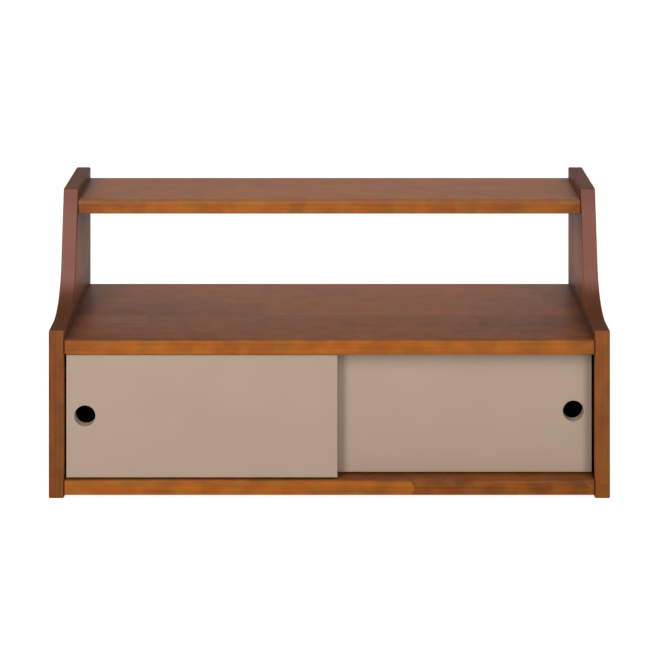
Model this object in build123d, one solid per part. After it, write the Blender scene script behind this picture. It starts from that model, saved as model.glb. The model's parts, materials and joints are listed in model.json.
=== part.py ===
"""Wall cabinet with an open shelf above and two sliding doors below, as separate pieces.

Millimetres. X runs left to right as seen from the front, Y from the front to the wall, Z up.
The origin is under the middle of the cabinet: the front is at -Y and the wall at +Y.
"""

import math
import os

from build123d import *

os.makedirs("parts", exist_ok=True)

# The case
cabinet_width = 752.0
cabinet_depth = 260.0
cabinet_height = 382.5
panel_thickness = 21.0
board_thickness = 20.0
edge_round = 2.0
front_edge_round = 4.0
top_shelf_front_round = 8.0
lower_edge_round = 1.0

# Heights: how far the side panels reach below the bottom board and above the shelves, and the
# opening behind the doors
foot_height = 4.0
door_opening_height = 168.0
ledge_rise = 12.2
top_rise = 15.5

# Front edge of the side panels: a level ledge, a hollow curve, then a straight edge that leans back
panel_top_setback = 132.7
panel_lean_degrees = 13.0
panel_corner_round = 3.0
hollow_radius = 72.0

# How far the front of the top shelf is ahead of the side panels' upper corners
top_shelf_lead = 3.0

# Back panel of the door compartment, let into the side panels
back_thickness = 10.0
back_rebate_width = 10.0
back_edge_margin = 5.0
rebate_clearance = 0.5

# Rail that carries the cabinet on the wall
rail_thickness = 18.0
rail_height = 60.0
wall_hole_spacing = 500.0
wall_hole_radius = 4.0

# Sliding doors
door_thickness = 15.0
door_front_setback = 3.5
door_air_gap = 3.0
door_overlap = 20.0
left_door_gap = 2.2
right_door_gap = 0.3
door_bottom_gap = 2.0
door_top_gap = 1.2
door_edge_round = 1.0
finger_hole_radius = 14.0
finger_hole_inset = 25.0

# Recess in each side panel that the ends of the doors close into
closing_recess_depth = 5.0
closing_recess_room = 0.4
closing_recess_corner = 1.0

# Plastic tracks let into the underside of the middle shelf, with lips that carry the hangers
track_cavity_width = 6.0
track_cavity_height = 5.4
track_slot = 3.4
track_lip = 1.2
track_wall = 1.0
groove_clearance = 0.1

# Nylon hangers in the top edges of the doors
hanger_length = 24.0
hanger_insert_width = 6.0
hanger_insert_depth = 12.0
hanger_from_door_end = 45.0
hanger_step = 2.0
hanger_head_height = 2.4
slide_clearance = 0.3
hang_clearance = 0.1
insert_clearance = 0.1

# Nylon guide let into the bottom board, with a fin for the groove under each door
guide_width = 14.0
guide_thickness = 5.0
guide_end_margin = 7.0
guide_fin_length = 6.0
guide_fin_thickness = 3.0
guide_engagement = 6.0
guide_screw_length = 14.0
door_groove_room = 1.0

# Beech dowels
dowel_radius = 4.0
dowel_panel_skin = 9.0
dowel_board_depth = 24.0
dowel_end_room = 0.5
dowel_chamfer = 1.0
dowel_edge_margin = 25.0
dowel_behind_track = 20.0
fit_clearance = 0.05

# Cam fittings that draw the boards against the side panels
cam_radius = 7.5
cam_above_bolt = 4.5
cam_recess = 0.7
cam_from_end = 24.0
cam_clearance = 0.1
cam_cavity_room = 1.1
cam_neck_room = 0.5
cam_drive_length = 8.0
cam_drive_width = 1.6
cam_drive_depth = 2.5
bolt_thread_radius = 3.5
bolt_thread_lead = 1.0
bolt_panel_skin = 10.0
bolt_shank_radius = 3.4
bolt_neck_radius = 2.2
bolt_head_radius = 3.4
bolt_head_length = 4.0
bolt_bore_room = 0.6

# Countersunk screws of the back panel
screw_head_radius = 3.5
screw_shank_radius = 1.75
screw_length = 25.0
screw_head_sink = 0.2
screw_edge_margin = 6.0
screws_per_row = 5
screw_row_margin = 35.0

# Places that follow from the sizes above
half_width = cabinet_width / 2
inner_half_width = half_width - panel_thickness
front_y = -cabinet_depth / 2
wall_y = cabinet_depth / 2
bottom_board_top = foot_height + board_thickness
middle_shelf_z = bottom_board_top + door_opening_height
middle_shelf_top = middle_shelf_z + board_thickness
ledge_z = middle_shelf_top + ledge_rise
top_shelf_z = cabinet_height - top_rise - board_thickness
board_back_y = wall_y - back_thickness
panel_top_y = front_y + panel_top_setback
top_shelf_front_y = panel_top_y - top_shelf_lead
back_low_z = foot_height + back_edge_margin
back_high_z = middle_shelf_top - back_edge_margin
rail_low_z = middle_shelf_z - rail_height
rail_middle_z = middle_shelf_z - rail_height / 2
rail_front_y = board_back_y - rail_thickness
rail_middle_y = board_back_y - rail_thickness / 2
front_door_y = front_y + door_front_setback
rear_door_y = front_door_y + door_thickness + door_air_gap
door_width = inner_half_width + (door_overlap - left_door_gap - right_door_gap) / 2
door_low_z = bottom_board_top + door_bottom_gap
door_high_z = middle_shelf_z - door_top_gap
finger_hole_z = (door_low_z + door_high_z) / 2
front_track_y = front_door_y + door_thickness / 2
rear_track_y = rear_door_y + door_thickness / 2
track_width = track_cavity_width + 2 * track_wall
track_depth = track_lip + track_cavity_height + track_wall
groove_width = track_width + 2 * groove_clearance
hanger_stem_thickness = track_slot - 2 * slide_clearance
hanger_head_width = track_cavity_width - 2 * slide_clearance
hanger_head_length = hanger_length - 2 * hanger_step
hanger_stem_length = hanger_head_length - 2 * hanger_step
hanger_head_low_z = middle_shelf_z + track_lip + hang_clearance
hanger_head_high_z = hanger_head_low_z + hanger_head_height
guide_low_z = bottom_board_top - guide_thickness
guide_fin_top_z = door_low_z + guide_engagement
guide_middle_y = (front_track_y + rear_track_y) / 2
guide_reach = rear_track_y - front_track_y + 2 * guide_end_margin
door_groove_width = guide_fin_thickness + 2 * slide_clearance
door_groove_top_z = guide_fin_top_z + door_groove_room
dowel_panel_depth = panel_thickness - dowel_panel_skin
bolt_thread_length = panel_thickness - bolt_panel_skin
bolt_axis_height = board_thickness / 2
bolt_bore_radius = max(bolt_shank_radius, bolt_head_radius) + bolt_bore_room
cam_pocket_depth = bolt_axis_height + cam_above_bolt
cam_height = cam_pocket_depth - cam_recess
cam_cavity_radius = bolt_head_radius + cam_cavity_room
cam_neck_half_slot = bolt_neck_radius + cam_neck_room

left = -1
right = 1


def block(x0, x1, y0, y1, z0, z1):
    """Square-edged block between two opposite corners."""
    middle = ((x0 + x1) / 2, (y0 + y1) / 2, (z0 + z1) / 2)
    return Pos(*middle) * Box(abs(x1 - x0), abs(y1 - y0), abs(z1 - z0))


def rod(start, direction, radius, length):
    """Plain round bar that starts at a point and runs along a direction."""
    upright = Cylinder(radius, length, align=(Align.CENTER, Align.CENTER, Align.MIN))
    return Plane(origin=start, z_dir=direction) * upright


def turned(outline, start, direction):
    """Turned piece from a half outline of (radius, distance along the axis) points."""
    half = Plane.XZ * make_face(Polyline(*outline, close=True))
    return Plane(origin=start, z_dir=direction) * revolve(half, Axis.Z)


def round_ended_block(x, y, z0, z1, length, width, turn=0):
    """Block with rounded ends between two heights, long in X unless it is turned by some degrees."""
    return Pos(x, y, z0) * extrude(SlotOverall(length, width, rotation=turn), z1 - z0)


def spread(first, last, count):
    """Evenly spaced places from the first to the last."""
    step = (last - first) / (count - 1)
    return [first + step * i for i in range(count)]


def long_edges(board, y, z):
    """Edges of a board that run along X at the given depth and height."""
    near = edge_round / 10
    edges = board.edges().filter_by(Axis.X)
    return [e for e in edges if abs(e.center().Y - y) < near and abs(e.center().Z - z) < near]


def dowel(side, y, z):
    """Dowel that joins the end of a board or rail to a side panel."""
    length = dowel_panel_depth + dowel_board_depth - 2 * dowel_end_room
    radius = dowel_radius - fit_clearance
    outline = [
        (0, 0),
        (radius - dowel_chamfer, 0),
        (radius, dowel_chamfer),
        (radius, length - dowel_chamfer),
        (radius - dowel_chamfer, length),
        (0, length),
    ]
    start_x = side * (inner_half_width + dowel_panel_depth - dowel_end_room)
    return turned(outline, (start_x, y, z), (-side, 0, 0))


def dowel_hole(side, y, z):
    """Hole for one dowel, across the joint between a panel and a board."""
    start = (side * (inner_half_width + dowel_panel_depth), y, z)
    return rod(start, (-side, 0, 0), dowel_radius, dowel_panel_depth + dowel_board_depth)


def cam_bolt(side, y, z):
    """Bolt that screws into a side panel and ends in the middle of its cam."""
    thread_radius = bolt_thread_radius - fit_clearance
    panel_face = bolt_thread_length
    cam_middle = panel_face + cam_from_end
    neck_start = cam_middle - cam_radius - cam_neck_room
    head_start = cam_middle - bolt_head_length / 2
    head_end = cam_middle + bolt_head_length / 2
    outline = [
        (0, 0),
        (thread_radius - bolt_thread_lead, 0),
        (thread_radius, bolt_thread_lead),
        (thread_radius, panel_face),
        (bolt_shank_radius, panel_face),
        (bolt_shank_radius, neck_start),
        (bolt_neck_radius, neck_start),
        (bolt_neck_radius, head_start),
        (bolt_head_radius, head_start),
        (bolt_head_radius, head_end),
        (0, head_end),
    ]
    start = (side * (inner_half_width + bolt_thread_length), y, z)
    return turned(outline, start, (-side, 0, 0))


def bolt_hole(side, y, z):
    """Hole for the thread of a cam bolt in a side panel."""
    start = (side * inner_half_width, y, z)
    return rod(start, (side, 0, 0), bolt_thread_radius, bolt_thread_length + dowel_end_room)


def cam(side, y, low_z):
    """Cam lock in the underside of a board, with its slot towards the bolt and a cross for the driver."""
    x = side * (inner_half_width - cam_from_end)
    axis_z = low_z + bolt_axis_height
    base_z = low_z + cam_recess
    body = rod((x, y, base_z), (0, 0, 1), cam_radius - cam_clearance, cam_height)
    cavity = rod((x, y - cam_cavity_radius, axis_z), (0, 1, 0), cam_cavity_radius, 2 * cam_cavity_radius)
    neck_slot = block(
        x,
        x + side * cam_radius,
        y - cam_neck_half_slot,
        y + cam_neck_half_slot,
        axis_z - cam_neck_half_slot,
        axis_z + cam_neck_half_slot,
    )
    half_drive = cam_drive_length / 2
    half_blade = cam_drive_width / 2
    drive_z = base_z + cam_drive_depth
    blade_across = block(x - half_drive, x + half_drive, y - half_blade, y + half_blade, base_z, drive_z)
    blade_along = block(x - half_blade, x + half_blade, y - half_drive, y + half_drive, base_z, drive_z)
    return body - cavity - neck_slot - blade_across - blade_along


def cam_cuts(side, y, low_z):
    """Pocket for a cam in the underside of a board, with the bore that leads the bolt to it."""
    pocket_x = side * (inner_half_width - cam_from_end)
    pocket = rod((pocket_x, y, low_z), (0, 0, 1), cam_radius, cam_pocket_depth)
    bore_start = (side * inner_half_width, y, low_z + bolt_axis_height)
    return pocket + rod(bore_start, (-side, 0, 0), bolt_bore_radius, cam_from_end)


class Joinery:
    """Dowels and cam fittings, in turn, that hold one board between the side panels."""

    def __init__(self, first_y, last_y, low_z, count):
        places = spread(first_y, last_y, count)
        self.dowel_ys = places[0::2]
        self.cam_ys = places[1::2]
        self.low_z = low_z
        self.axis_z = low_z + bolt_axis_height

    def cut_board(self, board):
        """Board with the holes of both its ends."""
        for side in (left, right):
            for y in self.dowel_ys:
                board -= dowel_hole(side, y, self.axis_z)
            for y in self.cam_ys:
                board -= cam_cuts(side, y, self.low_z)
        return board

    def cut_panel(self, panel, side):
        """Side panel with the holes for this board."""
        for y in self.dowel_ys:
            panel -= dowel_hole(side, y, self.axis_z)
        for y in self.cam_ys:
            panel -= bolt_hole(side, y, self.axis_z)
        return panel

    def dowels(self):
        return [dowel(side, y, self.axis_z) for side in (left, right) for y in self.dowel_ys]

    def bolts(self):
        return [cam_bolt(side, y, self.axis_z) for side in (left, right) for y in self.cam_ys]

    def cams(self):
        return [cam(side, y, self.low_z) for side in (left, right) for y in self.cam_ys]


long_board_first_y = rear_track_y + groove_width / 2 + dowel_behind_track
long_board_last_y = board_back_y - dowel_edge_margin
joinery = {
    "top_shelf": Joinery(
        top_shelf_front_y + dowel_edge_margin, wall_y - dowel_edge_margin, top_shelf_z, 3
    ),
    "middle_shelf": Joinery(long_board_first_y, long_board_last_y, middle_shelf_z, 5),
    "bottom_board": Joinery(long_board_first_y, long_board_last_y, foot_height, 5),
}
rail_dowel_zs = (rail_middle_z - rail_height / 4, rail_middle_z + rail_height / 4)


def side_profile():
    """Outline of a side panel, drawn in Y and Z."""
    slope = math.tan(math.radians(panel_lean_degrees))
    turn = math.radians(90 - panel_lean_degrees)
    bend_z = ledge_z + hollow_radius * (1 - math.cos(turn))
    bend_y = panel_top_y - (cabinet_height - bend_z) * slope
    ledge_end_y = bend_y - hollow_radius * math.sin(turn)
    outline = [
        Line((front_y, 0), (wall_y, 0)),
        Line((wall_y, 0), (wall_y, cabinet_height)),
        Line((wall_y, cabinet_height), (panel_top_y, cabinet_height)),
        Line((panel_top_y, cabinet_height), (bend_y, bend_z)),
        TangentArc((ledge_end_y, ledge_z), (bend_y, bend_z), tangent=(1, 0)),
        Line((ledge_end_y, ledge_z), (front_y, ledge_z)),
        Line((front_y, ledge_z), (front_y, 0)),
    ]
    return make_face(outline)


def closing_recess(side):
    """Pocket in a side panel for the ends of both doors, with its corners a little round."""
    inner_x = side * inner_half_width
    pocket = block(
        inner_x,
        inner_x + side * closing_recess_depth,
        front_door_y - closing_recess_room,
        rear_door_y + door_thickness + closing_recess_room,
        bottom_board_top,
        middle_shelf_z,
    )
    return fillet(pocket.edges().filter_by(Axis.X), closing_recess_corner)


def side_panel(side):
    """Side panel with its rims eased, its rebate for the back panel, its recess and its joinery holes."""
    inner_x = side * inner_half_width
    slab = extrude(Plane.YZ * side_profile(), panel_thickness)
    slab = Pos(min(inner_x, side * half_width), 0, 0) * slab
    slab = fillet(long_edges(slab, panel_top_y, cabinet_height), panel_corner_round)
    slab = fillet(slab.faces().filter_by(Axis.X).edges(), edge_round)
    slab -= block(
        inner_x,
        inner_x + side * back_rebate_width,
        board_back_y,
        wall_y,
        back_low_z - rebate_clearance,
        back_high_z + rebate_clearance,
    )
    slab -= closing_recess(side)
    for fittings in joinery.values():
        slab = fittings.cut_panel(slab, side)
    for z in rail_dowel_zs:
        slab -= dowel_hole(side, rail_middle_y, z)
    return slab


def screw_places():
    """X and Z of each screw of the back panel: a row in each long board, and two in the rail."""
    reach = inner_half_width - screw_row_margin
    row_xs = spread(-reach, reach, screws_per_row)
    row_zs = (back_low_z + screw_edge_margin, back_high_z - screw_edge_margin)
    rail_xs = (-wall_hole_spacing / 4, wall_hole_spacing / 4)
    return [(x, z) for z in row_zs for x in row_xs] + [(x, rail_middle_z) for x in rail_xs]


def screw_outline(length, clearance):
    """Half outline of a countersunk screw, or of its hole with some clearance."""
    head = screw_head_radius + clearance
    shank = screw_shank_radius + clearance
    taper = screw_head_radius - screw_shank_radius
    return [(0, 0), (head, 0), (shank, taper), (shank, length + clearance - taper), (0, length + clearance)]


def back_screw(x, z):
    """Countersunk screw from behind, its head just below the face of the back panel."""
    return turned(screw_outline(screw_length, 0), (x, wall_y - screw_head_sink, z), (0, -1, 0))


def back_screw_hole(x, z):
    """Countersunk hole for one screw."""
    well = rod((x, wall_y, z), (0, -1, 0), screw_head_radius + fit_clearance, screw_head_sink)
    outline = screw_outline(screw_length, fit_clearance)
    return well + turned(outline, (x, wall_y - screw_head_sink, z), (0, -1, 0))


def cut_screws(piece, low_z, high_z):
    """Piece with the holes of the back-panel screws that enter it."""
    for x, z in screw_places():
        if low_z < z < high_z:
            piece -= back_screw_hole(x, z)
    return piece


def cut_wall_holes(piece):
    """Piece with the two holes for the wall screws."""
    for x in (-wall_hole_spacing / 2, wall_hole_spacing / 2):
        piece -= rod((x, wall_y, rail_middle_z), (0, -1, 0), wall_hole_radius, cabinet_depth)
    return piece


def board_between_panels(front, back, low_z, front_round):
    """Board that fits between the side panels, rounded along the top of its front and eased below."""
    high_z = low_z + board_thickness
    board = block(-inner_half_width, inner_half_width, front, back, low_z, high_z)
    board = fillet(long_edges(board, front, high_z), front_round)
    return fillet(long_edges(board, front, low_z), lower_edge_round)


def top_shelf():
    board = board_between_panels(top_shelf_front_y, wall_y, top_shelf_z, top_shelf_front_round)
    for z in (top_shelf_z, top_shelf_z + board_thickness):
        board = fillet(long_edges(board, wall_y, z), edge_round)
    return joinery["top_shelf"].cut_board(board)


def middle_shelf():
    board = board_between_panels(front_y, board_back_y, middle_shelf_z, front_edge_round)
    groove_top_z = middle_shelf_z + track_depth + groove_clearance
    half, reach = groove_width / 2, inner_half_width
    for y in (front_track_y, rear_track_y):
        board -= block(-reach, reach, y - half, y + half, middle_shelf_z, groove_top_z)
    board = joinery["middle_shelf"].cut_board(board)
    return cut_screws(board, middle_shelf_z, middle_shelf_top)


def bottom_board():
    board = board_between_panels(front_y, board_back_y, foot_height, front_edge_round)
    board -= guide_base(groove_clearance)
    board -= turned(screw_outline(guide_screw_length, fit_clearance), *guide_screw_seat)
    board = joinery["bottom_board"].cut_board(board)
    return cut_screws(board, foot_height, bottom_board_top)


def hanging_rail():
    rail = block(
        -inner_half_width, inner_half_width, rail_front_y, board_back_y, rail_low_z, middle_shelf_z
    )
    for side in (left, right):
        for z in rail_dowel_zs:
            rail -= dowel_hole(side, rail_middle_y, z)
    return cut_screws(cut_wall_holes(rail), rail_low_z, middle_shelf_z)


def hanging_rail_dowels():
    return [dowel(side, rail_middle_y, z) for side in (left, right) for z in rail_dowel_zs]


def back_panel():
    reach = inner_half_width + back_rebate_width - rebate_clearance
    panel = block(-reach, reach, board_back_y, wall_y, back_low_z, back_high_z)
    return cut_screws(cut_wall_holes(panel), back_low_z, back_high_z)


def track(y):
    """Track along the underside of the middle shelf, open below between its two lips."""
    low_z, reach = middle_shelf_z, inner_half_width
    lip_z = low_z + track_lip
    half, half_cavity, half_slot = track_width / 2, track_cavity_width / 2, track_slot / 2
    shell = block(-reach, reach, y - half, y + half, low_z, low_z + track_depth)
    cavity = block(-reach, reach, y - half_cavity, y + half_cavity, lip_z, lip_z + track_cavity_height)
    slot = block(-reach, reach, y - half_slot, y + half_slot, low_z, lip_z)
    return shell - cavity - slot


guide_screw_seat = ((0, guide_middle_y, bottom_board_top - screw_head_sink), (0, 0, -1))


def guide_base(clearance):
    """Base of the floor guide, level with the bottom board, or its mortise with some clearance."""
    low_z = guide_low_z - clearance
    length = guide_reach + 2 * clearance
    width = guide_width + 2 * clearance
    return round_ended_block(0, guide_middle_y, low_z, bottom_board_top, length, width, 90)


def floor_guide():
    """Floor guide in the middle of the opening, where the doors always cover it."""
    piece = guide_base(0)
    for y in (front_track_y, rear_track_y):
        piece += round_ended_block(
            0, y, bottom_board_top, guide_fin_top_z, guide_fin_length, guide_fin_thickness
        )
    top = (0, guide_middle_y, bottom_board_top)
    well = rod(top, (0, 0, -1), screw_head_radius + fit_clearance, screw_head_sink)
    return piece - well - turned(screw_outline(guide_screw_length, fit_clearance), *guide_screw_seat)


def floor_guide_screw():
    return turned(screw_outline(guide_screw_length, 0), *guide_screw_seat)


class Door:
    """One sliding door at rest, closed but for a small gap at its own side of the cabinet."""

    def __init__(self, side, face_y, side_gap):
        self.side = side
        self.face_y = face_y
        self.middle_y = face_y + door_thickness / 2
        self.outer_x = side * (inner_half_width - side_gap)
        self.inner_x = self.outer_x - side * door_width
        self.hanger_xs = (
            self.outer_x - side * hanger_from_door_end,
            self.inner_x + side * hanger_from_door_end,
        )

    def insert(self, x, clearance):
        """The part of a hanger that sits in the door's top edge, or its mortise with clearance."""
        low_z = door_high_z - hanger_insert_depth - clearance
        length = hanger_length + 2 * clearance
        width = hanger_insert_width + 2 * clearance
        return round_ended_block(x, self.middle_y, low_z, door_high_z, length, width)

    def panel(self):
        """Door panel with eased edges, its finger hole, its mortises and the groove for the floor guide."""
        back_y = self.face_y + door_thickness
        slab = block(self.outer_x, self.inner_x, self.face_y, back_y, door_low_z, door_high_z)
        hole_x = self.outer_x - self.side * finger_hole_inset
        slab -= rod((hole_x, self.face_y, finger_hole_z), (0, 1, 0), finger_hole_radius, door_thickness)
        slab = fillet(slab.faces().filter_by(Axis.Y).edges(), door_edge_round)
        for x in self.hanger_xs:
            slab -= self.insert(x, insert_clearance)
        near_y = self.middle_y - door_groove_width / 2
        far_y = self.middle_y + door_groove_width / 2
        return slab - block(self.outer_x, self.inner_x, near_y, far_y, door_low_z, door_groove_top_z)

    def hangers(self):
        """Two hangers, each an insert with a stem and a head that runs on the lips of the track."""
        y, low_z, high_z = self.middle_y, hanger_head_low_z, hanger_head_high_z
        pieces = []
        for x in self.hanger_xs:
            stem = round_ended_block(x, y, door_high_z, low_z, hanger_stem_length, hanger_stem_thickness)
            head = round_ended_block(x, y, low_z, high_z, hanger_head_length, hanger_head_width)
            pieces.append(self.insert(x, 0) + stem + head)
        return pieces


def write(name, solids):
    """Write one node, with each of its solids separate."""
    export_step(Compound(children=solids), f"parts/{name}.step")


def main():
    write("left_side_panel", [side_panel(left)])
    write("right_side_panel", [side_panel(right)])
    write("top_shelf", [top_shelf()])
    write("middle_shelf", [middle_shelf()])
    write("bottom_board", [bottom_board()])
    write("back_panel", [back_panel()])
    write("back_panel_screws", [back_screw(x, z) for x, z in screw_places()])
    write("hanging_rail", [hanging_rail()])
    write("hanging_rail_dowels", hanging_rail_dowels())
    for board_name, fittings in joinery.items():
        write(f"{board_name}_dowels", fittings.dowels())
        write(f"{board_name}_cam_bolts", fittings.bolts())
        write(f"{board_name}_cams", fittings.cams())
    write("front_track", [track(front_track_y)])
    write("rear_track", [track(rear_track_y)])
    write("floor_guide", [floor_guide()])
    write("floor_guide_screw", [floor_guide_screw()])
    doors = {
        "left_door": Door(left, front_door_y, left_door_gap),
        "right_door": Door(right, rear_door_y, right_door_gap),
    }
    for door_name, door in doors.items():
        write(door_name, [door.panel()])
        write(f"{door_name}_hangers", door.hangers())


main()
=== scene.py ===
"""A wall cabinet with an open bay over two sliding doors, dressed and lit for its studio picture.

Metres throughout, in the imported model's own frame: X to the right, Y towards the wall, Z up.
"""

from __future__ import annotations

import json
import logging
import math
from dataclasses import dataclass
from enum import Enum
from functools import reduce
from operator import mul
from typing import Any, Mapping, Union

import bmesh
import bpy
from mathutils import Matrix, Vector


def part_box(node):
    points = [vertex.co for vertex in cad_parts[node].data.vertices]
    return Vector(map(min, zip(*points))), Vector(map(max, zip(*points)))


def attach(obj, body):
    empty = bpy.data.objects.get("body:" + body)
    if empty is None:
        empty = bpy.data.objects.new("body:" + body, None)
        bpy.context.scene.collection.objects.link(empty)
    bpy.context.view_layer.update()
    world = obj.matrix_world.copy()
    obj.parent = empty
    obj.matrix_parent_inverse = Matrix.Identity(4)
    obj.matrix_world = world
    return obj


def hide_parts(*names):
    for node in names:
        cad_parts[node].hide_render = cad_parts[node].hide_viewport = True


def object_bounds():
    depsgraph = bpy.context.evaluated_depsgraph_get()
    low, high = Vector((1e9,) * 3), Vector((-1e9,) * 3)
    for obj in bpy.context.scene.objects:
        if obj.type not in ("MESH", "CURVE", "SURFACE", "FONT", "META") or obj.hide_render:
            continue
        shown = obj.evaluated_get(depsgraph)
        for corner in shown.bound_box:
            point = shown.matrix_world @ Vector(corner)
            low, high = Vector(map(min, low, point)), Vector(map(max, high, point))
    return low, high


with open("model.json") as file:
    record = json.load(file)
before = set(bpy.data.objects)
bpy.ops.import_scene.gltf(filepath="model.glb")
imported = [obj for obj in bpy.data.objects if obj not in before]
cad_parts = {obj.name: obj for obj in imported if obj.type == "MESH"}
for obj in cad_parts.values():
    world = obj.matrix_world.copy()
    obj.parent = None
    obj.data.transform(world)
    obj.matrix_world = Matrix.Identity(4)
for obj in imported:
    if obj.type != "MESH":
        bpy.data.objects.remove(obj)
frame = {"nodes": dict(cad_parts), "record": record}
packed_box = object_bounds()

log = logging.getLogger("cabinet")

Colour = tuple[float, float, float]
Scales = tuple[float, float, float]
Spot = tuple[float, float, float]
Span = tuple[float, float]
Turn = tuple[float, float, float, float]
Number = Union["Value", float]
Places = tuple["Value", "Value", "Value"]


class Grain(Enum):
    """Axes that run along, across and through the fibres of a board."""

    CROSSWISE = ("X", "Y", "Z")
    UPRIGHT = ("Z", "Y", "X")


class Value:
    """A number that varies over a surface; arithmetic on it adds Math nodes."""

    def __init__(self, graph: Graph, socket: bpy.types.NodeSocket) -> None:
        """Wrap a socket of a graph."""
        self.graph = graph
        self.socket = socket

    def math(self, operation: str, *operands: Number) -> Value:
        """Result of one Math node.

        Args:
            operation: The Math node's operation.
            operands: Its inputs in order.

        Returns:
            The node's result.
        """
        made = self.graph.node("ShaderNodeMath", {"operation": operation}, dict(enumerate(operands)))
        return Value(self.graph, made.outputs[0])

    def __add__(self, other: Number) -> Value:
        """Sum."""
        return self.math("ADD", self, other)

    def __radd__(self, other: Number) -> Value:
        """Sum, from the right."""
        return self.math("ADD", other, self)

    def __sub__(self, other: Number) -> Value:
        """Difference."""
        return self.math("SUBTRACT", self, other)

    def __rsub__(self, other: Number) -> Value:
        """Difference, from the right."""
        return self.math("SUBTRACT", other, self)

    def __mul__(self, other: Number) -> Value:
        """Product."""
        return self.math("MULTIPLY", self, other)

    def __rmul__(self, other: Number) -> Value:
        """Product, from the right."""
        return self.math("MULTIPLY", other, self)

    def __truediv__(self, other: Number) -> Value:
        """Quotient."""
        return self.math("DIVIDE", self, other)

    def __rtruediv__(self, other: Number) -> Value:
        """Quotient, from the right."""
        return self.math("DIVIDE", other, self)

    def __pow__(self, other: Number) -> Value:
        """Power."""
        return self.math("POWER", self, other)

    def __abs__(self) -> Value:
        """Size without its sign."""
        return self.math("ABSOLUTE", self)

    def floor(self) -> Value:
        """Whole part."""
        return self.math("FLOOR", self)

    def fraction(self) -> Value:
        """Part after the point."""
        return self.math("FRACT", self)

    def root(self) -> Value:
        """Square root."""
        return self.math("SQRT", self)

    def sine(self) -> Value:
        """Sine of an angle in radians."""
        return self.math("SINE", self)

    def above(self, limit: Number) -> Value:
        """One where the number is above a limit, else nothing."""
        return self.math("GREATER_THAN", self, limit)

    def below(self, limit: Number) -> Value:
        """One where the number is below a limit, else nothing."""
        return self.math("LESS_THAN", self, limit)

    def larger(self, other: Number) -> Value:
        """The larger of two numbers."""
        return self.math("MAXIMUM", self, other)

    def swing(self) -> Value:
        """Noise about a half, as noise about nothing."""
        return self.math("SUBTRACT", self, 0.5)

    def rise(self, low: float, high: float) -> Value:
        """Soft step from nothing at one level to one at another.

        Args:
            low: Level where the step starts.
            high: Level where it ends.

        Returns:
            The step.
        """
        settings = {"interpolation_type": "SMOOTHSTEP"}
        sockets = {"Value": self, "From Min": low, "From Max": high}
        return Value(self.graph, self.graph.node("ShaderNodeMapRange", settings, sockets).outputs[0])


class Graph:
    """Nodes of one finish, or of the world."""

    def __init__(self, tree: bpy.types.NodeTree) -> None:
        """Start from an emptied node tree."""
        self.tree = tree
        self.tree.nodes.clear()

    def node(
        self,
        kind: str,
        settings: Mapping[str, Any] | None = None,
        sockets: Mapping[str | int, Any] | None = None,
    ) -> bpy.types.Node:
        """Add a node, set it up, then fill or link its sockets.

        Args:
            kind: The node's type.
            settings: Its own settings, such as a Math node's operation.
            sockets: Numbers, colours or links for its inputs, by name or place.

        Returns:
            The node.
        """
        made = self.tree.nodes.new(kind)
        for key, setting in (settings or {}).items():
            setattr(made, key, setting)
        for key, given in (sockets or {}).items():
            source = given.socket if isinstance(given, Value) else given
            if isinstance(source, bpy.types.NodeSocket):
                self.tree.links.new(source, made.inputs[key])
            else:
                made.inputs[key].default_value = source
        return made

    def coordinates(self, output: str) -> Places:
        """Coordinates of the surface, or of the sky.

        Args:
            output: "Object" for its place in the model's frame, "Normal" for the way that it
                faces there, "Generated" for a direction of the sky.

        Returns:
            X, Y and Z.
        """
        given = self.node("ShaderNodeTexCoord").outputs[output]
        split = self.node("ShaderNodeSeparateXYZ", None, {0: given})
        return tuple(Value(self, socket) for socket in split.outputs)

    def vector(self, x: Number, y: Number, z: Number) -> bpy.types.NodeSocket:
        """Vector of three numbers."""
        return self.node("ShaderNodeCombineXYZ", None, {0: x, 1: y, 2: z}).outputs[0]

    def noise(self, x: Number, y: Number, z: Number, detail: float = 2.0, rough: float = 0.5) -> Value:
        """Cloudy noise about a half, at places whose scale is already set.

        Args:
            x: First coordinate.
            y: Second coordinate.
            z: Third coordinate.
            detail: Layers of finer noise.
            rough: Strength of the finer layers.

        Returns:
            The noise.
        """
        sockets = {"Vector": self.vector(x, y, z), "Scale": 1.0, "Detail": detail, "Roughness": rough}
        return Value(self, self.node("ShaderNodeTexNoise", None, sockets).outputs[0])

    def chance(self, x: Number, y: Number, z: Number) -> Value:
        """Fixed random number for three whole numbers.

        Args:
            x: First number.
            y: Second number.
            z: Third number.

        Returns:
            A number from nothing to one.
        """
        sockets = {"Vector": self.vector(x, y, z)}
        made = self.node("ShaderNodeTexWhiteNoise", {"noise_dimensions": "3D"}, sockets)
        return Value(self, made.outputs[0])

    def mix(self, share: Number, first: Any, second: Any) -> bpy.types.NodeSocket:
        """Colour between two colours.

        Args:
            share: How much of the second colour.
            first: A colour or a link to one.
            second: A colour or a link to one.

        Returns:
            The mixed colour.
        """
        pair = [(*c, 1.0) if isinstance(c, tuple) else c for c in (first, second)]
        settings = {"data_type": "RGBA", "clamp_factor": True}
        return self.node("ShaderNodeMix", settings, {0: share, 6: pair[0], 7: pair[1]}).outputs[2]

    def bump(self, height: Value, distance: float, strength: float) -> bpy.types.NodeSocket:
        """Normal of a surface with a small relief.

        Args:
            height: Relief from nothing to one.
            distance: How high one is.
            strength: How much of it shows.

        Returns:
            The normal.
        """
        sockets = {"Height": height, "Distance": distance, "Strength": strength}
        return self.node("ShaderNodeBump", None, sockets).outputs[0]

    def light_path(self, *kinds: str) -> Value:
        """Tell kinds of rays apart.

        Args:
            kinds: Names of the kinds.

        Returns:
            One for rays of these kinds, else nothing.
        """
        path = self.node("ShaderNodeLightPath")
        return reduce(Value.larger, [Value(self, path.outputs[kind]) for kind in kinds])


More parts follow.
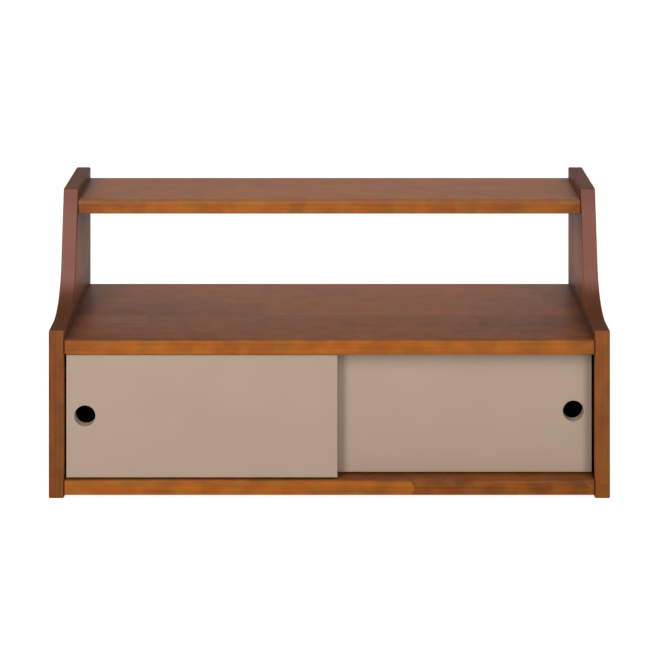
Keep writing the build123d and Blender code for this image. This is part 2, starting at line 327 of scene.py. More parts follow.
class Finish:
    """What every finish shares: a named material that ends in one surface shader."""

    name: str

    def start(self) -> Graph:
        """Make the material.

        Returns:
            Its empty graph.
        """
        made = bpy.data.materials.new(self.name)
        made.use_nodes = True
        return Graph(made.node_tree)

    def close(self, graph: Graph, sockets: Mapping[str, Any]) -> bpy.types.Material:
        """End a graph in its surface shader.

        Args:
            graph: The finish's graph.
            sockets: The shader's inputs by name.

        Returns:
            The finished material.
        """
        surface = graph.node("ShaderNodeBsdfPrincipled", None, sockets)
        graph.node("ShaderNodeOutputMaterial", None, {"Surface": surface.outputs[0]})
        return bpy.data.materials[self.name]


@dataclass(frozen=True)
class CornerShade:
    """Neighbours along one axis, beside which shade is painted into the stain."""

    axis: str
    nodes: tuple[str, ...]
    reach: float
    within: float = 10.0
    depth: float = 0.5
    start: float = 0.0
    behind: float = -10.0

    def mask(self, spots: Mapping[str, Value]) -> Value:
        """One beside the neighbours, falling to nothing from the start to the reach.

        Args:
            spots: The surface's X, Y and Z.

        Returns:
            The mask, kept to what is within a distance of the middle and behind a place.
        """
        side = "XYZ".index(self.axis)
        masks = []
        for node in self.nodes:
            low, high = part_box(node)
            middle, half = (low[side] + high[side]) / 2, (high[side] - low[side]) / 2
            away = abs(spots[self.axis] - middle)
            masks.append(1.0 - away.rise(half + self.start, half + self.reach))
        kept = abs(spots["X"]).below(self.within) * spots["Y"].above(self.behind)
        return reduce(Value.larger, masks) * kept * self.depth


@dataclass(frozen=True)
class ShadedRecess:
    """A cut into a board, whose walls are painted almost black as painted shade."""

    opening: str
    room: Spot = (0.0008, 0.0006, 0.0008)
    colour: Colour = (0.018, 0.006, 0.002)

    def mask(self, spots: Mapping[str, Value]) -> Value:
        """Find the cut.

        Args:
            spots: The surface's X, Y and Z.

        Returns:
            One inside the recorded opening and the room around it, else nothing.
        """
        openings = {item["name"]: item["box_m"] for item in frame["record"]["physics"]["openings"]}
        masks = []
        for axis, low, high, room in zip("XYZ", *openings[self.opening], self.room):
            masks.append(abs(spots[axis] - (low + high) / 2).below((high - low) / 2 + room))
        return reduce(mul, masks)


@dataclass(frozen=True)
class Layer:
    """One layer of cloudy noise, by its changes per metre along three axes."""

    scales: Scales
    detail: float = 2.0
    rough: float = 0.5
    levels: Span | None = None

    def noise(self, graph: Graph, place: Places, shift: Number | None = None) -> Value:
        """The layer as noise about a half, or as a soft step if it has levels.

        Args:
            graph: The finish's graph.
            place: Where the surface is along the three axes.
            shift: Offset along the first axis, which sets one stave apart from the next.

        Returns:
            The noise.
        """
        x, y, z = (spot * scale for spot, scale in zip(place, self.scales))
        made = graph.noise(x if shift is None else x + shift, y, z, self.detail, self.rough)
        return made.rise(*self.levels) if self.levels else made


@dataclass
class Surface:
    """What the stain depends on: places, ways that the surface faces, and the stave."""

    spots: dict[str, Value]
    fibres: Places
    outward: Value
    edge: Value
    ends: Value
    hollow: Value
    lane: Value
    row: Value
    luck: Value
    beyond: Value


@dataclass(frozen=True)
class Wood(Finish):
    """Boards glued up from staves, stained and varnished.

    A tone of nothing is the dark stain and one is the light stain. The front edge takes the stain
    differently from the faces; it may change its tone at a finger joint. A span tells where a shade
    starts and is full, and where it fades if it has four numbers, by how far the surface faces
    forward, along the grain at an end, or up in a hollow. The front shade's reach and the crown are
    places instead. Some colour is painted light: painted shade beside neighbouring boards and panels,
    on rounded arrises, in hollows and in recesses, a painted sheen of the lamps on forward faces, and
    a painted reflection on rounded shoulders.
    """

    name: str
    grain: Grain
    front: float
    tones: Span
    edge_tones: Span
    finger_joint: float = 10.0
    edge_span: Span = (0.45, 1.0)
    end_span: Span = (0.2, 0.75)
    streaks: float = 0.5
    bands: float = 0.26
    blush: float = 0.0
    blush_span: Span = (0.65, 0.9)
    front_shade: float = 0.0
    front_shade_reach: Span = (0.03, 0.17)
    # Painted shade on rounded arrises.
    arris: float = 0.2
    arris_shade_span: Turn = (0.5, 0.85, 0.94, 0.9995)
    painted_reflection: float = 0.0
    painted_reflection_span: Turn = (0.35, 0.65, 0.7, 0.98)
    hollow_shade: float = 0.0
    hollow_span: Span = (0.75, 0.93)
    hollow_top: float = 0.30
    crown_shade: float = 0.0
    crown: Span = (0.345, 0.378)
    seed: float = 0.0
    dark: Colour = (0.095, 0.023, 0.004)
    light: Colour = (0.480, 0.122, 0.009)
    olive: Colour = (0.436, 0.139, 0.010)
    sheen_colour: Colour = (0.229, 0.077, 0.053)
    reflection_colour: Colour = (0.215, 0.104, 0.055)
    stave_width: float = 0.052
    stave_length: float = 0.46
    stagger: float = 7.0
    stagger_seed: float = 3.0
    stave_shift: float = 17.0
    joint_shift: float = 5.0
    seam: float = 0.00016
    seam_tone: float = 0.12
    finger: float = 0.0034
    finger_pitch: float = 0.017
    ring_gap: float = 0.0058
    ring_waver: float = 0.007
    ring_tone: float = 0.035
    pith_across: Span = (0.2, 0.8)
    pith_depth: Span = (0.03, 0.09)
    fibre: Layer = Layer((5.0, 330.0, 330.0), 4.0, 0.6)
    hair: Layer = Layer((30.0, 2300.0, 2300.0))
    hair_tone: float = 0.14
    band: Layer = Layer((34.0, 38.0, 38.0), 2.0, 0.4, (0.32, 0.68))
    cloud: Layer = Layer((4.0, 16.0, 16.0), 3.0, 0.55)
    cloud_tone: float = 0.3
    face_share: float = 0.45
    hue: Layer = Layer((24.0, 70.0, 70.0), 2.0, 0.45, (0.38, 0.62))
    pore: Layer = Layer((105.0, 2700.0, 2700.0), 1.0, 0.5, (0.66, 0.76))
    pore_tone: float = 0.14
    end_grain: float = 0.60
    roughness: float = 0.42
    edge_roughness: float = 0.52
    cloud_satin: float = 0.12
    pore_satin: float = 0.12
    end_satin: float = 0.22
    gloss: float = 0.26
    relief: float = 0.00012
    relief_strength: float = 0.3
    fibre_relief: float = 0.35
    hair_relief: float = 0.3
    pore_relief: float = 0.9
    seam_relief: float = 0.6
    corners: tuple[CornerShade, ...] = ()
    recess: ShadedRecess | None = None

    def survey(self, graph: Graph) -> Surface:
        """Work out what the stain depends on.

        Args:
            graph: The finish's graph.

        Returns:
            Masks and numbers that the other methods share.
        """
        spots = dict(zip("XYZ", graph.coordinates("Object")))
        faces = dict(zip("XYZ", graph.coordinates("Normal")))
        along, across, through = fibres = tuple(spots[axis] for axis in self.grain.value)
        outward = 0.0 - faces["Y"]
        lengthways = along + (through * (math.tau / self.finger_pitch)).sine() * (self.finger / 2)
        lane = (across - self.front) / self.stave_width
        row = lane.floor()
        stagger = graph.chance(row, self.seed, self.stagger_seed) * self.stagger
        piece = (lengthways / self.stave_length + stagger).floor()
        return Surface(
            spots=spots,
            fibres=fibres,
            outward=outward,
            edge=outward.rise(*self.edge_span),
            ends=abs(faces[self.grain.value[0]]).rise(*self.end_span),
            hollow=faces["Z"].rise(*self.hollow_span) * spots["Z"].below(self.hollow_top),
            lane=lane,
            row=row,
            luck=graph.chance(row, piece, self.seed),
            beyond=lengthways.above(self.finger_joint),
        )

    @staticmethod
    def turned(surface: Surface, span: Turn) -> Value:
        """Mask of a rounded arris.

        Args:
            surface: The surveyed surface.
            span: Where the mask starts, is full, begins to fade and ends.

        Returns:
            One where the arris turns, else nothing.
        """
        start, full, fading, end = span
        turning = surface.outward.rise(start, full) * (1.0 - surface.outward.rise(fading, end))
        return turning * (1.0 - surface.ends)

    def tone(self, surface: Surface) -> Value:
        """Tone of the stain before the grain shows in it, with painted shade on arrises and in hollows.

        Args:
            surface: The surveyed surface.

        Returns:
            The tone.
        """
        before, after = self.edge_tones
        edge_tone = before + surface.beyond * (after - before)
        low, high = self.tones
        face_tone = low + surface.luck * (high - low)
        if self.front_shade:
            shaded = 1.0 - (surface.fibres[1] - self.front).rise(*self.front_shade_reach)
            face_tone = face_tone - shaded * self.front_shade
        tone = face_tone + surface.edge * (edge_tone - face_tone)
        # Painted shade: darker where a rounded arris turns towards the lamps, and in the hollows of the
        # panels.
        bend = self.turned(surface, self.arris_shade_span)
        return tone - bend * self.arris - surface.hollow * self.hollow_shade

    def rings(self, surface: Surface, cloud: Value) -> Value:
        """Growth rings about a pith of each stave's own.

        Args:
            surface: The surveyed surface.
            cloud: Noise that makes the rings waver.

        Returns:
            Rings from minus one to one.
        """
        near, far = self.pith_across
        shallow, deep = self.pith_depth
        middle = (surface.row + near + surface.luck * (far - near)) * self.stave_width
        across = surface.fibres[1] - self.front - middle
        through = surface.fibres[2] + shallow + surface.luck * (deep - shallow)
        radius = (across**2.0 + through**2.0).root() + cloud.swing() * self.ring_waver
        return (radius * (math.tau / self.ring_gap)).sine()

    def colour(self, graph: Graph, surface: Surface, tint: Value, hue: Value) -> bpy.types.NodeSocket:
        """Colour of the stain, with painted shade beside neighbours and in the recess, and painted sheen
        and reflection on forward faces.

        Args:
            graph: The finish's graph.
            surface: The surveyed surface.
            tint: Tone of the stain with its grain.
            hue: How far the light stain turns to olive.

        Returns:
            The colour.
        """
        # Painted shade: darker beside neighbouring boards and panels, where shade falls.
        for corner in self.corners:
            tint = tint - corner.mask(surface.spots)
        colour = graph.mix(tint, self.dark, graph.mix(hue, self.light, self.olive))
        # Painted reflection: a pale sheen on the rounded shoulder between a top and its front.
        if self.painted_reflection:
            shoulder = self.turned(surface, self.painted_reflection_span)
            colour = graph.mix(shoulder * self.painted_reflection, colour, self.reflection_colour)
        # Painted sheen: a rose sheen of the lamps on forward faces above the ledge, then darker towards the
        # panels' tops on forward faces.
        if self.blush:
            upright = surface.outward.rise(*self.blush_span)
            crown = surface.spots["Z"].rise(*self.crown) * upright
            colour = graph.mix(surface.beyond * upright * self.blush, colour, self.sheen_colour)
            colour = graph.mix(crown * self.crown_shade, colour, self.dark)
        # Painted shade: the recess walls are painted almost black, as a deep slot in shade.
        if self.recess:
            colour = graph.mix(self.recess.mask(surface.spots), colour, self.recess.colour)
        return colour

    def material(self) -> bpy.types.Material:
        """Stain and varnish with the figure of the grain.

        Returns:
            The finish as a material.
        """
        graph = self.start()
        surface = self.survey(graph)
        edge, ends, fibres = surface.edge, surface.ends, surface.fibres
        shift = surface.luck * self.stave_shift + surface.beyond * self.joint_shift
        fibre = self.fibre.noise(graph, fibres, shift)
        hair = self.hair.noise(graph, fibres, shift)
        band = self.band.noise(graph, fibres, shift)
        cloud = self.cloud.noise(graph, fibres, shift)
        hue = self.hue.noise(graph, fibres, 0.0 - shift)
        pore = self.pore.noise(graph, fibres, shift)
        seam = abs(surface.lane.fraction() - 0.5).above(0.5 - self.seam / self.stave_width)

        tint = self.tone(surface) + self.rings(surface, cloud) * self.ring_tone
        tint = tint + fibre.swing() * self.streaks + hair.swing() * self.hair_tone
        mottle = band.swing() * self.bands + cloud.swing() * self.cloud_tone
        tint = tint + mottle * (self.face_share + edge * (1.0 - self.face_share))
        tint = tint - pore * self.pore_tone - seam * self.seam_tone - ends * self.end_grain

        satin = self.roughness + edge * (self.edge_roughness - self.roughness)
        satin = satin + cloud.swing() * self.cloud_satin + pore * self.pore_satin + ends * self.end_satin
        raised = fibre * self.fibre_relief + hair * self.hair_relief
        sunk = pore * self.pore_relief + seam * self.seam_relief
        return self.close(
            graph,
            {
                "Base Color": self.colour(graph, surface, tint, hue),
                "Roughness": satin + surface.hollow * self.hollow_shade,
                "Specular IOR Level": self.gloss,
                "Normal": graph.bump(raised - sunk, self.relief, self.relief_strength),
            },
        )


@dataclass(frozen=True)
class DoorLacquer(Finish):
    """Sprayed satin lacquer with a fine orange peel."""

    name: str = "taupe_door_lacquer"
    colour: Colour = (0.462, 0.340, 0.258)
    deeper: Colour = (0.438, 0.320, 0.240)
    clouds: Layer = Layer((9.0, 9.0, 9.0), 3.0)
    specks: Layer = Layer((900.0, 900.0, 900.0), 2.0, 0.6)
    peel: Layer = Layer((520.0, 520.0, 520.0), 1.0)
    cloud_share: float = 0.7
    shade_levels: Span = (0.3, 0.7)
    roughness: float = 0.46
    cloud_satin: float = 0.1
    speck_satin: float = 0.06
    gloss: float = 0.3
    peel_share: float = 0.7
    relief: float = 0.00005
    relief_strength: float = 0.35

    def material(self) -> bpy.types.Material:
        """Lacquer with its peel.

        Returns:
            The finish as a material.
        """
        graph = self.start()
        place = graph.coordinates("Object")
        cloud = self.clouds.noise(graph, place)
        speck = self.specks.noise(graph, place)
        peel = self.peel.noise(graph, place)
        shade = cloud * self.cloud_share + speck * (1.0 - self.cloud_share)
        satin = self.roughness + cloud.swing() * self.cloud_satin + speck.swing() * self.speck_satin
        height = peel * self.peel_share + speck * (1.0 - self.peel_share)
        return self.close(
            graph,
            {
                "Base Color": graph.mix(shade.rise(*self.shade_levels), self.colour, self.deeper),
                "Roughness": satin,
                "Specular IOR Level": self.gloss,
                "Normal": graph.bump(height, self.relief, self.relief_strength),
            },
        )


@dataclass(frozen=True)
class Moulded(Finish):
    """Extruded or moulded plastic with faint flow lines along X and a fine grain."""

    name: str
    colour: Colour
    deeper: Colour
    roughness: float = 0.42
    flow: Layer = Layer((6.0, 1500.0, 1500.0))
    specks: Layer = Layer((2600.0, 2600.0, 2600.0), 2.0, 0.6)
    scuffs: Layer = Layer((24.0, 90.0, 90.0), 4.0, 0.65, (0.5, 0.75))
    flow_share: float = 0.6
    scuff_satin: float = 0.14
    speck_satin: float = 0.1
    flow_relief: float = 0.5
    relief: float = 0.00005
    relief_strength: float = 0.3

    def material(self) -> bpy.types.Material:
        """Plastic with its flow lines and scuffs.

        Returns:
            The finish as a material.
        """
        graph = self.start()
        place = graph.coordinates("Object")
        flow = self.flow.noise(graph, place)
        speck = self.specks.noise(graph, place)
        scuff = self.scuffs.noise(graph, place)
        shade = flow * self.flow_share + scuff * (1.0 - self.flow_share)
        height = flow * self.flow_relief + speck * (1.0 - self.flow_relief)
        return self.close(
            graph,
            {
                "Base Color": graph.mix(shade, self.deeper, self.colour),
                "Roughness": self.roughness + scuff * self.scuff_satin + speck.swing() * self.speck_satin,
                "Normal": graph.bump(height, self.relief, self.relief_strength),
            },
        )


@dataclass(frozen=True)
class Plated(Finish):
    """Zinc metal with a crystalline mottle: yellow passivated plating, unless other colours are given."""

    name: str
    bright: Colour = (0.74, 0.69, 0.55)
    dull: Colour = (0.56, 0.51, 0.38)
    roughness: float = 0.33
    crystal: float = 0.001
    mottle_detail: float = 3.0
    mottle_rough: float = 0.6
    scratches: Layer = Layer((4000.0, 500.0, 4000.0), 2.0, 0.6)
    shade_levels: Span = (0.3, 0.7)
    mottle_satin: float = 0.3
    scratch_satin: float = 0.15
    mottle_relief: float = 0.5
    relief: float = 0.00003
    relief_strength: float = 0.4

    def material(self) -> bpy.types.Material:
        """Metal with its mottle and scratches.

        Returns:
            The finish as a material.
        """
        graph = self.start()
        place = graph.coordinates("Object")
        crystals = Layer((1.0 / self.crystal,) * 3, self.mottle_detail, self.mottle_rough)
        mottle = crystals.noise(graph, place)
        scratch = self.scratches.noise(graph, place)
        satin = self.roughness + mottle.swing() * self.mottle_satin + scratch.swing() * self.scratch_satin
        height = mottle * self.mottle_relief + scratch * (1.0 - self.mottle_relief)
        return self.close(
            graph,
            {
                "Base Color": graph.mix(mottle.rise(*self.shade_levels), self.dull, self.bright),
                "Roughness": satin,
                "Metallic": 1.0,
                "Normal": graph.bump(height, self.relief, self.relief_strength),
            },
        )


def dress(node: str, material: bpy.types.Material) -> None:
    """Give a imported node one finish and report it.

    Args:
        node: Name of the node.
        material: Its finish.
    """
    for slot in frame["nodes"][node].material_slots:
        slot.material = material
    log.info("dressed %s in %s", node, material.name)


def make_piece(name: str, mesh: bmesh.types.BMesh, material: bpy.types.Material) -> bpy.types.Object:
    """Turn a bmesh into a shown piece and report it.

    Args:
        name: Name of the piece.
        mesh: Its shape, with its place in it.
        material: Its finish.

    Returns:
        The new object.
    """
    data = bpy.data.meshes.new(name)
    mesh.to_mesh(data)
    mesh.free()
    data.materials.append(material)
    piece = bpy.data.objects.new(name, data)
    bpy.context.scene.collection.objects.link(piece)
    log.info("built %s, %d faces", name, len(data.polygons))
    return piece


@dataclass
class Case:
    """Side panels, shelves, back panel and hanging rail, with the joinery between them."""

    back_light: Colour = (0.36, 0.17, 0.075)
    back_dark: Colour = (0.17, 0.065, 0.024)
    boards: tuple[str, ...] = ("top_shelf", "middle_shelf", "bottom_board")
    panels: tuple[str, ...] = ("left_side_panel", "right_side_panel")
    ledge_height: float = 0.2227
    lean_tone: float = 0.29

    def stained(self, node: str, grain: Grain, **choices: Any) -> Wood:
        """Stained wood that starts its staves at a node's front.

        Args:
            node: The board's node.
            grain: Direction of its fibres.
            choices: Tones and other fields that differ from the usual ones.

        Returns:
            The finish.
        """
        return Wood(name=f"stained_{node}", grain=grain, front=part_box(node)[0].y, **choices)

    def dress_panels(self) -> None:
        """Stain the side panels, whose fibres stand upright."""
        inner_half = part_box("right_side_panel")[0].x
        for side, edge_tone, seed in (("left", 0.40, 5.0), ("right", 0.53, 9.0)):
            node = f"{side}_side_panel"
            finish = self.stained(
                node,
                Grain.UPRIGHT,
                tones=(0.50, 0.66),
                edge_tones=(edge_tone, self.lean_tone),
                finger_joint=self.ledge_height,
                finger=0.0,
                streaks=0.36,
                bands=0.14,
                # Painted sheen on the leaning fronts and painted shade in the hollows.
                blush=0.8,
                hollow_shade=0.3,
                crown_shade=0.3,
                seed=seed,
                edge_roughness=0.38,
                gloss=0.32,
                # Painted shade on the inner faces beside the boards: a contact line and broader shade near
                # them.
                corners=(
                    CornerShade("Z", self.boards, reach=0.022, within=inner_half + 0.0006),
                    CornerShade("Z", self.boards, reach=0.0008, within=inner_half + 0.0017, depth=1.2),
                    CornerShade(
                        "Z",
                        self.boards,
                        reach=0.046,
                        within=inner_half + 0.0022,
                        depth=0.33,
                        start=0.026,
                        behind=-0.118,
                    ),
                ),
                # Painted shade in the closing recess.
                recess=ShadedRecess(f"{side}_closing_recess"),
            )
            dress(node, finish.material())

    def dress_boards(self) -> None:
        """Stain the shelves and the bottom board, whose fibres run from side to side."""
        differences = {
            "top_shelf": dict(
                tones=(0.44, 0.59),
                edge_tones=(0.80, 0.80),
                gloss=0.30,
                arris=0.17,
                arris_shade_span=(0.83, 0.94, 0.975, 0.9999),
                painted_reflection=0.5,
                seed=2.0,
            ),
            "middle_shelf": dict(tones=(0.38, 0.52), edge_tones=(0.87, 0.87), front_shade=0.12, seed=4.0),
            "bottom_board": dict(
                tones=(0.22, 0.34), edge_tones=(0.86, 0.48), finger_joint=0.112, streaks=0.9, seed=7.0
            ),
        }
        # Painted shade beside the panels: a contact shadow along each joint and broader shade further out.
        joint = CornerShade("X", self.panels, reach=0.0016, depth=0.9)
        near = CornerShade("X", self.panels, reach=0.03, depth=0.15)
        far = CornerShade("X", self.panels, reach=0.24, depth=0.12)
        for node, choices in differences.items():
            corners = (joint,) if node == "bottom_board" else (joint, near, far)
            dress(node, self.stained(node, Grain.CROSSWISE, corners=corners, **choices).material())

    def dress_back(self) -> None:
        """Finish the veneered back panel and the rail in front of it."""
        veneer = Wood(
            name="back_veneer",
            grain=Grain.CROSSWISE,
            front=-1.0,
            tones=(0.4, 0.6),
            edge_tones=(0.5, 0.5),
            seed=3.0,
            dark=self.back_dark,
            light=self.back_light,
            olive=(0.34, 0.18, 0.085),
            stave_width=4.0,
            stave_length=9.0,
            roughness=0.58,
        )
        rail = self.stained(
            "hanging_rail", Grain.CROSSWISE, tones=(0.3, 0.5), edge_tones=(0.45, 0.45), seed=6.0
        )
        dress("back_panel", veneer.material())
        dress("hanging_rail", rail.material())

    def dress_joinery(self) -> None:
        """Finish the dowels, cam bolts and cams."""
        beech = Wood(
            name="beech_dowel",
            grain=Grain.CROSSWISE,
            front=-1.0,
            tones=(0.4, 0.7),
            edge_tones=(0.5, 0.5),
            dark=(0.40, 0.24, 0.12),
            light=(0.62, 0.43, 0.26),
            olive=(0.60, 0.44, 0.27),
            stave_width=4.0,
            stave_length=9.0,
            ring_gap=0.002,
            roughness=0.62,
        ).material()
        bolt = Plated(
            name="zinc_plated_steel",
            bright=(0.72, 0.73, 0.74),
            dull=(0.55, 0.56, 0.56),
            roughness=0.34,
            crystal=0.0012,
        ).material()
        cam = Plated(
            name="cast_zinc",
            bright=(0.62, 0.62, 0.62),
            dull=(0.44, 0.44, 0.45),
            roughness=0.46,
            crystal=0.0006,
        ).material()
        dress("hanging_rail_dowels", beech)
        for board in self.boards:
            dress(f"{board}_dowels", beech)
            dress(f"{board}_cam_bolts", bolt)
            dress(f"{board}_cams", cam)


@dataclass
class BackPanelScrews:
    """Countersunk screws of the back panel, with cross-shaped drives."""

    per_row: int = 5
    rail_x: float = 0.125
    head_radius: float = 0.0035
    shank_radius: float = 0.00175
    drive_reach: float = 0.0021
    drive_half_width: float = 0.00048
    drive_depth: float = 0.0015
    drive_taper: float = 0.6
    patch: float = 1.2
    rim: float = 0.00025
    tip: float = 0.02
    turn_step: float = 0.37
    sides: int = 24

    def places(self) -> list[Vector]:
        """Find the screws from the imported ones.

        Returns:
            Middle of each screw's head.
        """
        low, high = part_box("back_panel_screws")
        rail_low, rail_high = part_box("hanging_rail")
        first = low.x + self.head_radius
        step = (high.x - low.x - 2 * self.head_radius) / (self.per_row - 1)
        rows = (low.z + self.head_radius, high.z - self.head_radius)
        found = [Vector((first + step * i, high.y, z)) for z in rows for i in range(self.per_row)]
        rail_z = (rail_low.z + rail_high.z) / 2
        return found + [Vector((x, high.y, rail_z)) for x in (-self.rail_x, self.rail_x)]

    def add_drive(self, mesh: bmesh.types.BMesh) -> list[bmesh.types.BMEdge]:
        """Square patch with a cross sunk into it.

        Args:
            mesh: The screw so far.

        Returns:
            The patch's outer edges.
        """
        cells = self.sides // 4
        made = bmesh.ops.create_grid(mesh, x_segments=cells, y_segments=cells, size=1.0)
        lines = (self.drive_half_width, self.drive_reach, self.drive_reach * self.patch)
        for vert in made["verts"]:
            for axis in (0, 1):
                step = round(abs(vert.co[axis]) * cells / 2)
                if step:
                    vert.co[axis] = math.copysign(lines[step - 1], vert.co[axis])
        faces = {face for vert in made["verts"] for face in vert.link_faces}
        rim = [edge for face in faces for edge in face.edges if edge.is_boundary]
        cross = [face for face in faces if self.in_cross(face.calc_center_median())]
        sunk = bmesh.ops.extrude_face_region(mesh, geom=cross)["geom"]
        floor = [item for item in sunk if isinstance(item, bmesh.types.BMVert)]
        bmesh.ops.translate(mesh, verts=floor, vec=(0, 0, -self.drive_depth))
        bmesh.ops.scale(mesh, verts=floor, vec=(self.drive_taper, self.drive_taper, 1.0))
        bmesh.ops.delete(mesh, geom=cross, context="FACES_KEEP_BOUNDARY")
        return rim

    def in_cross(self, middle: Vector) -> bool:
        """Whether a cell of the patch lies in the cross."""
        near, far = sorted((abs(middle.x), abs(middle.y)))
        return near < self.drive_half_width and far < self.drive_reach

    def add_screw(self, mesh: bmesh.types.BMesh, length: float) -> None:
        """One screw that points down, with its head at the origin.

        Args:
            mesh: Where to add it.
            length: Head to tip.
        """
        rim = self.add_drive(mesh)
        circle = bmesh.ops.create_circle(mesh, cap_ends=False, segments=self.sides, radius=self.head_radius)
        ring = list({edge for vert in circle["verts"] for edge in vert.link_edges})
        bmesh.ops.bridge_loops(mesh, edges=rim + ring)
        taper = self.head_radius - self.shank_radius
        steps = (
            (self.rim, 1.0),
            (taper, self.shank_radius / self.head_radius),
            (length - taper * 3, 1.0),
            (taper * 2 - self.rim, self.tip),
        )
        for drop, narrowing in steps:
            grown = bmesh.ops.extrude_edge_only(mesh, edges=ring)["geom"]
            verts = [item for item in grown if isinstance(item, bmesh.types.BMVert)]
            bmesh.ops.translate(mesh, verts=verts, vec=(0, 0, -drop))
            bmesh.ops.scale(mesh, verts=verts, vec=(narrowing, narrowing, 1.0))
            ring = [item for item in grown if isinstance(item, bmesh.types.BMEdge)]
            ring = [edge for edge in ring if edge.is_boundary]
        bmesh.ops.holes_fill(mesh, edges=ring, sides=self.sides)

    def build(self) -> bpy.types.Object:
        """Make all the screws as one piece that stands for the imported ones.

        Returns:
            The piece.
        """
        low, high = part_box("back_panel_screws")
        whole = bmesh.new()
        for number, place in enumerate(self.places()):
            before = set(whole.verts)
            self.add_screw(whole, high.y - low.y)
            verts = [vert for vert in whole.verts if vert not in before]
            lay = Matrix.Rotation(math.radians(-90.0), 4, "X")
            twist = Matrix.Rotation(self.turn_step * number, 4, "Z")
            bmesh.ops.transform(whole, matrix=Matrix.Translation(place) @ lay @ twist, verts=verts)
        bmesh.ops.recalc_face_normals(whole, faces=whole.faces)
        piece = make_piece("back_panel_screw_set", whole, Plated("passivated_screw").material())
        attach(piece, "case")
        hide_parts("back_panel_screws")
        return piece


@dataclass
class SlidingDoors:
    """Two lacquered doors that hang from plastic tracks on nylon hangers."""

    doors: tuple[str, ...] = ("left_door", "right_door")
    tracks: tuple[str, ...] = ("front_track", "rear_track")

    def dress_all(self) -> None:
        """Finish the doors, their hangers, the tracks above and the guide below."""
        lacquer = DoorLacquer().material()
        nylon = Moulded(
            name="cream_nylon",
            colour=(0.72, 0.68, 0.58),
            deeper=(0.62, 0.57, 0.47),
            roughness=0.4,
        ).material()
        brown = Moulded(
            name="brown_track_plastic",
            colour=(0.060, 0.026, 0.012),
            deeper=(0.040, 0.017, 0.008),
            roughness=0.44,
        ).material()
        for door in self.doors:
            dress(door, lacquer)
            dress(f"{door}_hangers", nylon)
        for line in self.tracks:
            dress(line, brown)
        dress("floor_guide", brown)
        dress("floor_guide_screw", Plated("bright_guide_screw").material())


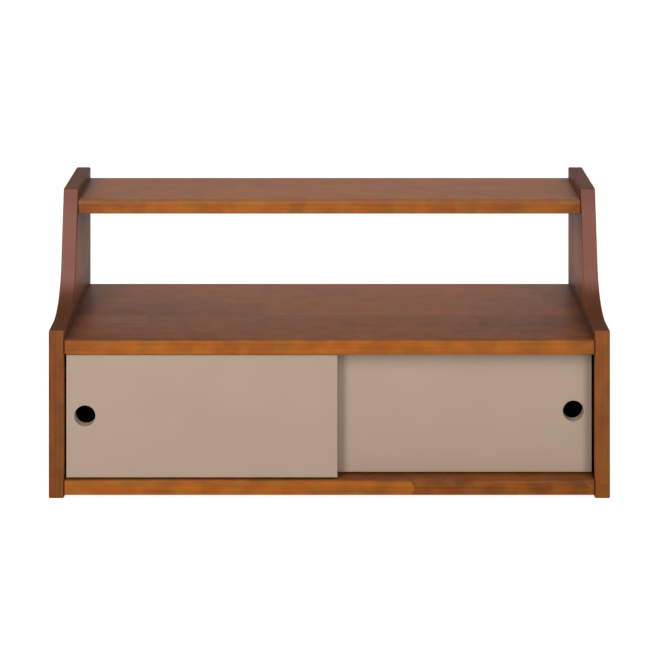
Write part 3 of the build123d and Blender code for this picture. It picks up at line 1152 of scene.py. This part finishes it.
@dataclass
class Studio:
    """White room: floor, backdrop, soft light, and a camera with an upright film plane."""

    frame_side: float = 660.0
    centre_column: float = 329.36
    horizon_row: float = -239.3
    front_scale: float = 747.1
    distance: float = 2.338
    eye_height: float = 0.9871
    film_width: float = 36.0
    front_ambient: float = 0.06
    back_ambient: float = 0.55
    front_reflection: float = 0.10
    horizon_reflection: float = 0.45
    back_reflection: float = 1.0
    horizon_fade: Span = (0.28, 0.46)
    behind_fade: Span = (-0.35, 0.15)
    floor_reach: float = 14.0
    floor_tone: float = 0.50
    floor_glow: float = 0.86
    floor_mirrored: float = 0.19
    floor_drop: float = 0.0005
    lamps: tuple[tuple[str, float, float], ...] = (
        ("left_softbox", -1.0, 47.5),
        ("right_softbox", 1.0, 33.5),
    )
    lamp_place: Spot = (1.3, -2.1, 1.38)
    lamp_aim: Spot = (0.0, 0.0, 0.18)
    lamp_size: Span = (0.9, 2.3)

    def light_world(self) -> None:
        """Even dim light for surfaces, a white backdrop for what looks at it."""
        world = bpy.data.worlds.new("white_room")
        bpy.context.scene.world = world
        world.use_nodes = True
        graph = Graph(world.node_tree)
        sky = dict(zip("XYZ", graph.coordinates("Generated")))
        behind = sky["Y"].rise(*self.behind_fade)
        lifted = sky["Z"].rise(*self.horizon_fade)
        screen = self.horizon_reflection + lifted * (self.back_reflection - self.horizon_reflection)
        reflected = self.front_reflection + behind * (screen - self.front_reflection)
        scattered = self.front_ambient + behind * (self.back_ambient - self.front_ambient)
        camera = graph.light_path("Is Camera Ray", "Is Transmission Ray")
        glossy = graph.light_path("Is Glossy Ray")
        seen = camera + (1.0 - camera) * glossy * reflected
        dim = (1.0 - camera) * (1.0 - glossy) * scattered
        backdrop = graph.node("ShaderNodeBackground", None, {0: (1.0, 1.0, 1.0, 1.0), 1: seen + dim})
        graph.node("ShaderNodeOutputWorld", None, {0: backdrop.outputs[0]})

    def lay_floor(self) -> None:
        """Pale floor that meets the white backdrop and keeps the shadow, clear from below."""
        plane = bmesh.new()
        bmesh.ops.create_grid(plane, x_segments=1, y_segments=1, size=self.floor_reach)
        bmesh.ops.translate(plane, verts=plane.verts, vec=(0, 0, -self.floor_drop))
        material = bpy.data.materials.new("pale_floor")
        material.use_nodes = True
        graph = Graph(material.node_tree)
        tone = (self.floor_tone, self.floor_tone, self.floor_tone, 1.0)
        matt = graph.node("ShaderNodeBsdfDiffuse", None, {"Color": tone})
        looked_at = graph.light_path("Is Camera Ray", "Is Transmission Ray")
        mirrored = graph.light_path("Is Glossy Ray") * (1.0 - looked_at)
        strength = looked_at * self.floor_glow + mirrored * self.floor_mirrored
        glow = graph.node("ShaderNodeEmission", None, {"Strength": strength})
        both = graph.node("ShaderNodeAddShader", None, {0: matt.outputs[0], 1: glow.outputs[0]})
        below = graph.node("ShaderNodeNewGeometry").outputs["Backfacing"]
        clear = graph.node("ShaderNodeBsdfTransparent")
        sided = graph.node("ShaderNodeMixShader", None, {0: below, 1: both.outputs[0], 2: clear.outputs[0]})
        graph.node("ShaderNodeOutputMaterial", None, {"Surface": sided.outputs[0]})
        make_piece("studio_floor", plane, material)

    def hang_softbox(self, name: str, side: float, power: float) -> None:
        """One large soft lamp.

        Args:
            name: Name of the lamp.
            side: Minus one to hang it on the left, one on the right.
            power: Its power in watts.
        """
        aside, ahead, height = self.lamp_place
        place = Vector((aside * side, ahead, height))
        lamp = bpy.data.lights.new(name, "AREA")
        lamp.shape = "RECTANGLE"
        lamp.size, lamp.size_y = self.lamp_size
        lamp.energy = power
        holder = bpy.data.objects.new(name, lamp)
        holder.location = place
        towards = Vector(self.lamp_aim) - place
        holder.rotation_euler = towards.to_track_quat("-Z", "Y").to_euler()
        holder.visible_camera = False
        bpy.context.scene.collection.objects.link(holder)
        log.info("hung %s", name)

    def set_lamps(self) -> None:
        """A tall soft lamp to the left and one to the right of the camera."""
        for name, side, power in self.lamps:
            self.hang_softbox(name, side, power)

    def set_camera(self) -> None:
        """Camera that looks down at the cabinet but keeps its uprights upright."""
        low, high = packed_box
        focal = self.front_scale * self.distance
        drop = (self.frame_side / 2 - self.horizon_row) / focal
        pitch = math.atan(drop)
        aside = (self.frame_side / 2 - self.centre_column) / self.front_scale
        eye = Vector(((low.x + high.x) / 2 + aside, low.y - self.distance, low.z + self.eye_height))
        lens = bpy.data.cameras.new("studio_camera")
        lens.sensor_width = self.film_width
        lens.lens = self.film_width * focal / math.cos(pitch) / self.frame_side
        camera = bpy.data.objects.new("studio_camera", lens)
        stand = bpy.data.objects.new("camera_stand", None)
        for item in (camera, stand):
            bpy.context.scene.collection.objects.link(item)
        right, up, back = (1, 0, 0), (0, 0, 1), (0, -math.cos(pitch), math.sin(pitch))
        upright_back = Matrix((right, up, back)).transposed().to_4x4()
        camera.parent = stand
        camera.matrix_parent_inverse = Matrix.Translation(eye) @ upright_back
        bpy.context.scene.camera = camera

    def set_up(self) -> None:
        """The whole studio."""
        bpy.context.scene.view_settings.view_transform = "Standard"
        self.set_camera()
        self.light_world()
        self.lay_floor()
        self.set_lamps()


def main() -> None:
    """Build and dress every sub-assembly, then the studio."""
    logging.basicConfig(level=logging.INFO, format="%(message)s")
    case = Case()
    case.dress_panels()
    case.dress_boards()
    case.dress_back()
    case.dress_joinery()
    BackPanelScrews().build()
    SlidingDoors().dress_all()
    Studio().set_up()


if __name__ == "__main__":
    main()
